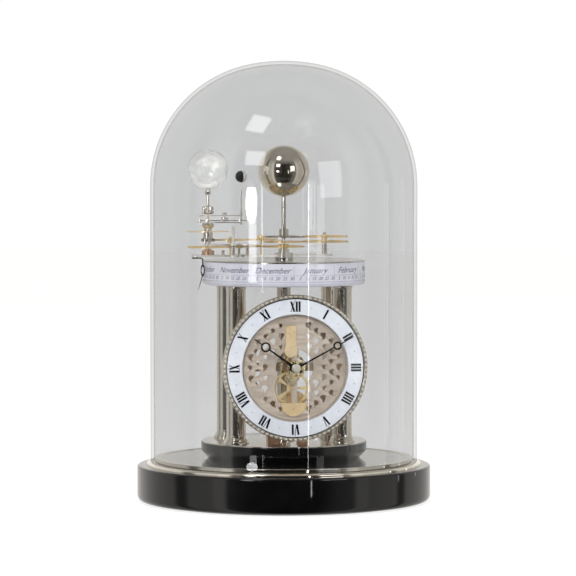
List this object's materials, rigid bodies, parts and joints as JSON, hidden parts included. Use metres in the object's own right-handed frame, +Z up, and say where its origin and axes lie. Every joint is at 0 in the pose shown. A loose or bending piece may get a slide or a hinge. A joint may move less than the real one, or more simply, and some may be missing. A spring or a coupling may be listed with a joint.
{
  "type": "orrery table clock",
  "caption": "Table clock under a lift-off glass dome, with an open dial and a geared model of Sun, Earth and Moon turning above a round calendar.",
  "frame": {"origin": "centre of the underside of the round base, on the surface it stands on", "axes": "+Z up along the dome's axis; the dial faces -Y; +X is to the right of the dial"},
  "size_m": [0.27, 0.27, 0.4044],
  "materials": {
    "nickel": "polished nickel",
    "brass": "polished brass",
    "steel": "satin",
    "black_steel": "satin",
    "black_lacquer": "high gloss",
    "felt": "matte",
    "clear_glass": "clear",
    "printed_ring": "satin with print",
    "white_enamel": "satin",
    "moon_two_tone": "half black, half silver"
  },
  "bodies": {
    "case": {"base_felt": "felt", "base_plinth": "black_lacquer", "dome_seat_ring": "nickel", "floor_plate": "nickel", "pedestal_drum": "black_lacquer", "pedestal_plate": "nickel", "columns": "nickel", "centre_tube": "nickel", "upper_plate": "nickel", "calendar_ring": "printed_ring", "calendar_cover": "nickel", "chapter_ring": "white_enamel", "dial_bezel": "nickel", "front_plate": "nickel", "back_plate": "nickel", "movement_pillars": "nickel", "fixing_screws": "steel", "front_cocks": "brass", "movement_brackets": "nickel", "centre_spindle": "nickel", "fixed_centre_wheel": "nickel", "sun_rod": "nickel", "sun_ball": "nickel"},
    "dome": {"glass_dome": "clear_glass"},
    "year_arm": {"year_arm": "nickel", "arm_posts": "nickel", "earth_bush": "brass", "arm_bridge": "nickel", "age_index_post": "nickel", "date_pointer": "black_steel", "phase_fixed_wheel": "nickel"},
    "compound_wheels": {"upper_compound_wheel": "brass", "lower_compound_wheel": "brass"},
    "node_wheel": {"node_wheel": "brass"},
    "moon_drive": {"moon_drive_wheel": "brass"},
    "moon_idler": {"moon_idler": "brass"},
    "moon_carrier": {"moon_tube": "nickel", "moon_age_dial": "brass", "moon_bars": "nickel"},
    "phase_idler": {"phase_idler": "nickel"},
    "moon": {"moon_rod": "nickel", "moon_ball": "moon_two_tone"},
    "day_wheel": {"day_wheel": "brass"},
    "day_idler": {"day_idler": "brass"},
    "earth": {"earth_wheel": "brass", "earth_stem": "nickel", "earth_globe": "clear_glass"},
    "centre_arbor": {"centre_arbor": "brass", "minute_hand": "black_steel", "hand_nut": "nickel"},
    "hour": {"hour_wheel": "brass", "hour_hand": "black_steel"},
    "motion": {"motion_wheel": "brass"},
    "intermediate": {"intermediate_wheel": "brass"},
    "barrel": {"mainspring_barrel": "brass"},
    "third": {"third_wheel": "brass"},
    "escape": {"escape_wheel": "brass"},
    "lever": {"pallet_lever": "steel"},
    "balance": {"balance_wheel": "brass"},
    "winding": {"winding_arbor": "steel"}
  },
  "joints": [
    {"name": "dome_lift", "type": "slide", "parent": "case", "child": "dome", "axis": [0, 0, 1], "range_m": [0, 0.38]},
    {"name": "year_turn", "type": "hinge", "parent": "case", "child": "year_arm", "pos_m": [0, 0, 0.226], "axis": [0, 0, 1], "continuous": true},
    {"name": "compound_turn", "type": "hinge", "parent": "year_arm", "child": "compound_wheels", "pos_m": [0.03875, 0.00441, 0.235], "axis": [0, 0, 1], "continuous": true},
    {"name": "node_turn", "type": "hinge", "parent": "year_arm", "child": "node_wheel", "pos_m": [0, 0, 0.238], "axis": [0, 0, 1], "continuous": true},
    {"name": "moon_drive_turn", "type": "hinge", "parent": "year_arm", "child": "moon_drive", "pos_m": [-0.02146, -0.00245, 0.235], "axis": [0, 0, 1], "continuous": true},
    {"name": "moon_idler_turn", "type": "hinge", "parent": "year_arm", "child": "moon_idler", "pos_m": [-0.05067, -0.00577, 0.235], "axis": [0, 0, 1], "continuous": true},
    {"name": "moon_orbit", "type": "hinge", "parent": "year_arm", "child": "moon_carrier", "pos_m": [-0.07154, -0.00815, 0.245], "axis": [0, 0, 1], "continuous": true},
    {"name": "phase_idler_turn", "type": "hinge", "parent": "moon_carrier", "child": "phase_idler", "pos_m": [-0.05632, -0.00921, 0.26], "axis": [0, 0, 1], "continuous": true},
    {"name": "moon_phase", "type": "hinge", "parent": "moon_carrier", "child": "moon", "pos_m": [-0.04111, -0.01028, 0.26], "axis": [0, 0, 1], "continuous": true},
    {"name": "day_wheel_turn", "type": "hinge", "parent": "year_arm", "child": "day_wheel", "pos_m": [0, 0, 0.234], "axis": [0, 0, 1], "continuous": true},
    {"name": "day_idler_turn", "type": "hinge", "parent": "year_arm", "child": "day_idler", "pos_m": [-0.03851, 0.02001, 0.235], "axis": [0, 0, 1], "continuous": true},
    {"name": "earth_spin", "type": "hinge", "parent": "year_arm", "child": "earth", "pos_m": [-0.07154, -0.00815, 0.234], "axis": [0, 0, 1], "continuous": true},
    {"name": "minute_turn", "type": "hinge", "parent": "case", "child": "centre_arbor", "pos_m": [0, -0.0596, 0.1265], "axis": [0, 1, 0], "continuous": true},
    {"name": "hour_turn", "type": "hinge", "parent": "case", "child": "hour", "pos_m": [0, -0.0596, 0.1265], "axis": [0, 1, 0], "continuous": true},
    {"name": "motion_turn", "type": "hinge", "parent": "case", "child": "motion", "pos_m": [-0.00241, -0.0596, 0.11809], "axis": [0, 1, 0], "continuous": true},
    {"name": "intermediate_turn", "type": "hinge", "parent": "case", "child": "intermediate", "pos_m": [-0.00229, -0.0596, 0.10784], "axis": [0, 1, 0], "continuous": true},
    {"name": "barrel_turn", "type": "hinge", "parent": "case", "child": "barrel", "pos_m": [-0.00105, -0.0596, 0.09003], "axis": [0, 1, 0], "continuous": true},
    {"name": "third_turn", "type": "hinge", "parent": "case", "child": "third", "pos_m": [-0.00479, -0.0596, 0.13966], "axis": [0, 1, 0], "continuous": true},
    {"name": "escape_turn", "type": "hinge", "parent": "case", "child": "escape", "pos_m": [-0.00018, -0.0596, 0.15002], "axis": [0, 1, 0], "continuous": true},
    {"name": "lever_rock", "type": "hinge", "parent": "case", "child": "lever", "pos_m": [-0.00018, -0.0596, 0.15962], "axis": [0, 1, 0], "range_deg": [-4, 4]},
    {"name": "balance_swing", "type": "hinge", "parent": "case", "child": "balance", "pos_m": [-0.00018, -0.0596, 0.17102], "axis": [0, 1, 0], "range_deg": [-270, 270]},
    {"name": "winding_turn", "type": "hinge", "parent": "case", "child": "winding", "pos_m": [-0.00105, -0.04, 0.09003], "axis": [0, 1, 0], "continuous": true}
  ],
  "couplings": [
    {"joint": "compound_turn", "follows": "year_turn", "ratio": 0.85714},
    {"joint": "node_turn", "follows": "year_turn", "ratio": -1.0539},
    {"joint": "moon_drive_turn", "follows": "year_turn", "ratio": 5},
    {"joint": "moon_idler_turn", "follows": "year_turn", "ratio": -4.6078},
    {"joint": "moon_orbit", "follows": "year_turn", "ratio": 12.368},
    {"joint": "phase_idler_turn", "follows": "year_turn", "ratio": 8.0228},
    {"joint": "moon_phase", "follows": "year_turn", "ratio": -12.368},
    {"joint": "day_wheel_turn", "follows": "minute_turn", "ratio": 0.041667},
    {"joint": "day_idler_turn", "follows": "minute_turn", "ratio": -0.03125},
    {"joint": "earth_spin", "follows": "minute_turn", "ratio": 0.041667},
    {"joint": "hour_turn", "follows": "minute_turn", "ratio": 0.083333},
    {"joint": "motion_turn", "follows": "minute_turn", "ratio": -0.38889},
    {"joint": "intermediate_turn", "follows": "minute_turn", "ratio": -0.175},
    {"joint": "barrel_turn", "follows": "minute_turn", "ratio": 0.023333},
    {"joint": "third_turn", "follows": "minute_turn", "ratio": -6},
    {"joint": "escape_turn", "follows": "minute_turn", "ratio": 36}
  ]
}
